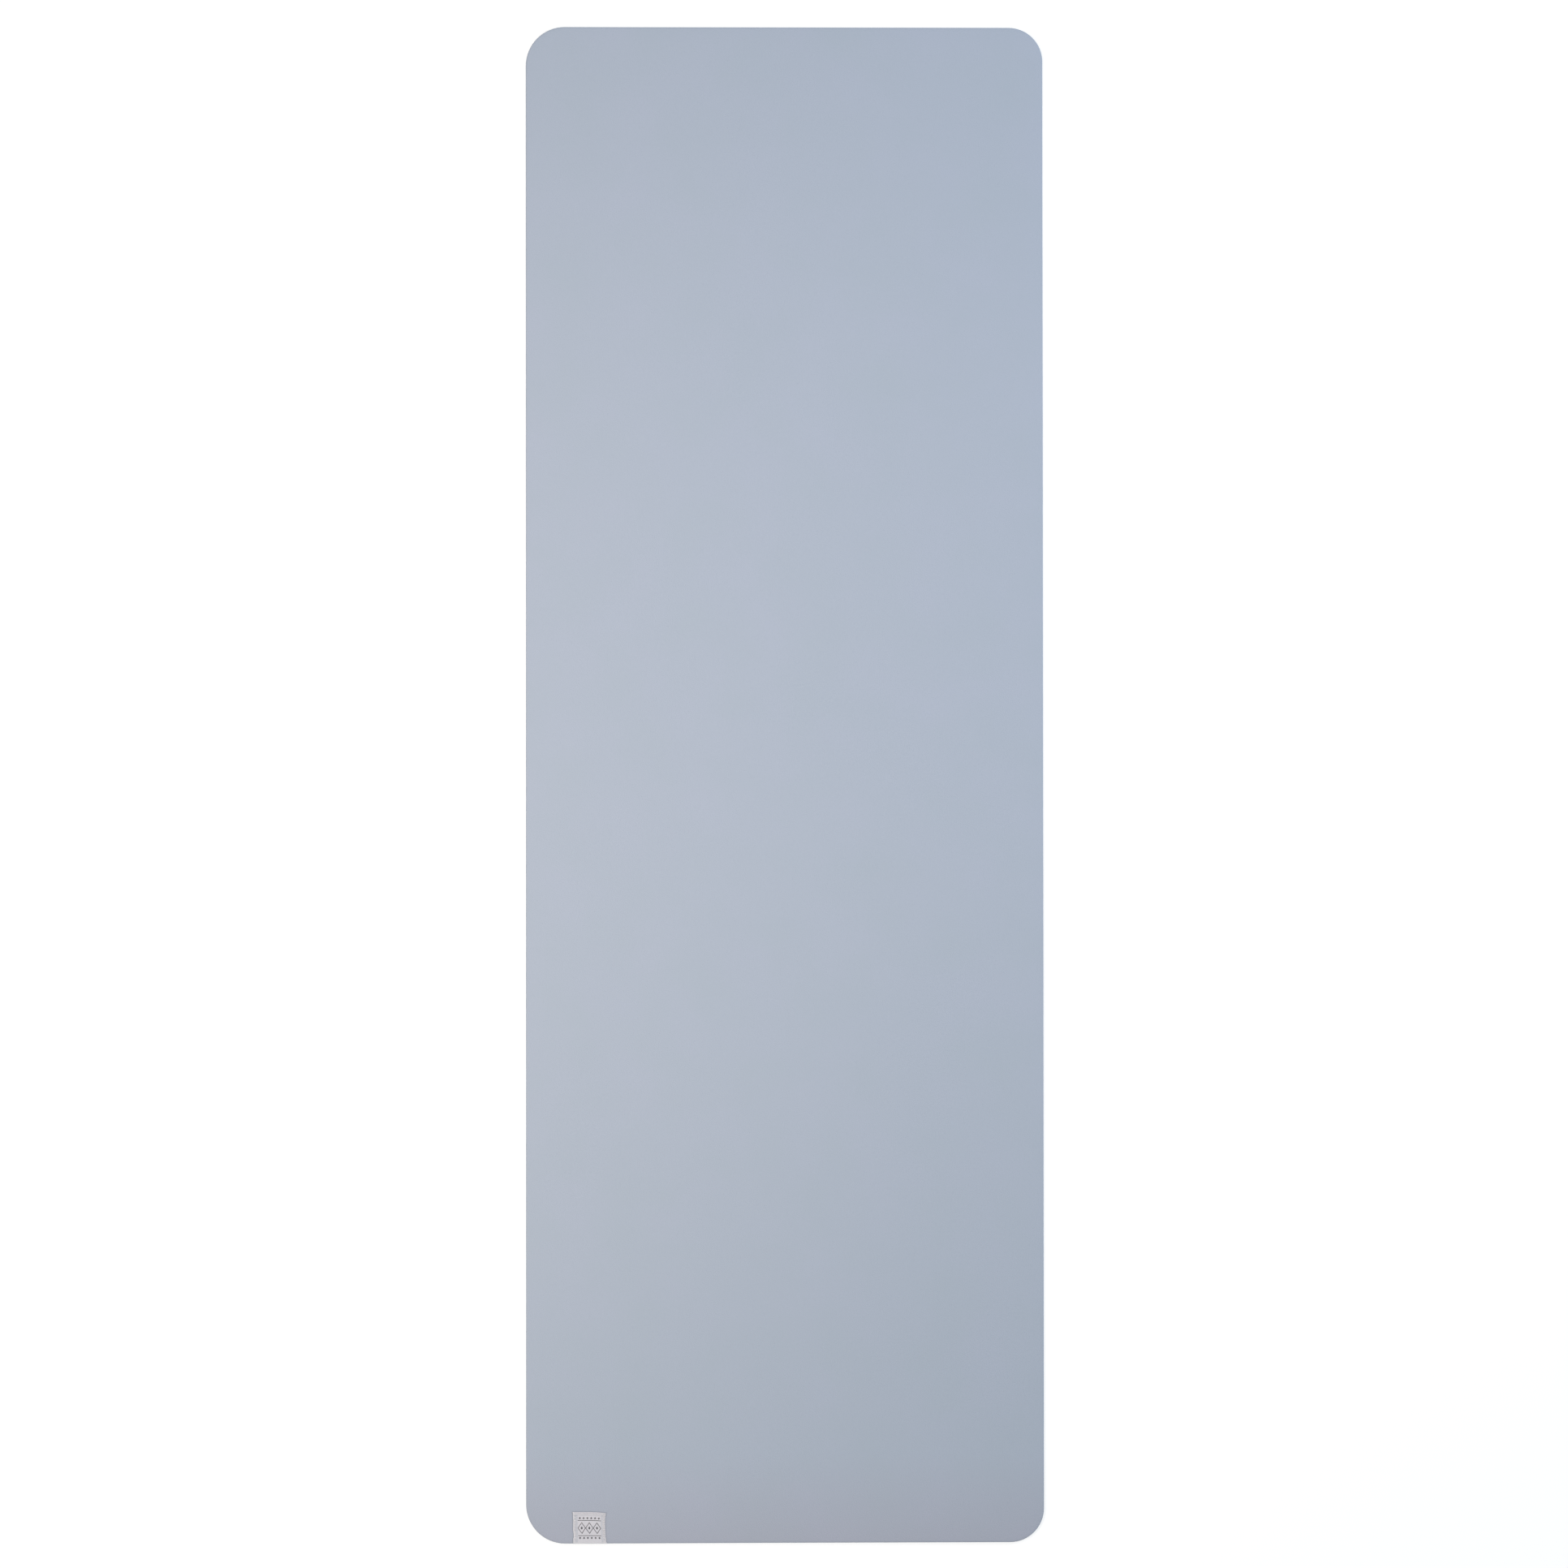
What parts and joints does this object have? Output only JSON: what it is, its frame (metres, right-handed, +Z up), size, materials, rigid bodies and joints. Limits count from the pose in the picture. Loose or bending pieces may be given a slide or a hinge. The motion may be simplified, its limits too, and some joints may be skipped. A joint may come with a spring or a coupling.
{
  "type": "yoga mat",
  "caption": "Flat rectangular exercise mat with rounded corners, laminated from bonded layers, with a woven label folded round one end and sewn through.",
  "frame": {"origin": "centre of the whole object's outline at floor level; the label's fold at the near end is counted, so the mat itself is centred 0.3 mm along +Y", "axes": "+Z up out of the face that is stood on, +Y along the mat away from the labelled end, +X across the mat, with the label near the -X side"},
  "size_m": [0.61, 1.7876, 0.0064],
  "materials": {
    "grip_skin": "matte blue-grey polyurethane with a fine embossed grain",
    "foam": "matte closed-cell foam rubber, die-cut at the edge",
    "layer_cloth": "plain polyester cloth",
    "label_cloth": "pale grey damask weave with a dark grey woven ornament",
    "sewing_thread": "twisted polyester thread"
  },
  "bodies": {
    "root": {"top_grip_skin": "grip_skin", "skin_backing_cloth": "layer_cloth", "upper_foam": "foam", "reinforcing_scrim": "layer_cloth", "lower_foam": "foam", "woven_label": "label_cloth", "needle_thread": "sewing_thread", "bobbin_thread": "sewing_thread"}
  },
  "joints": []
}
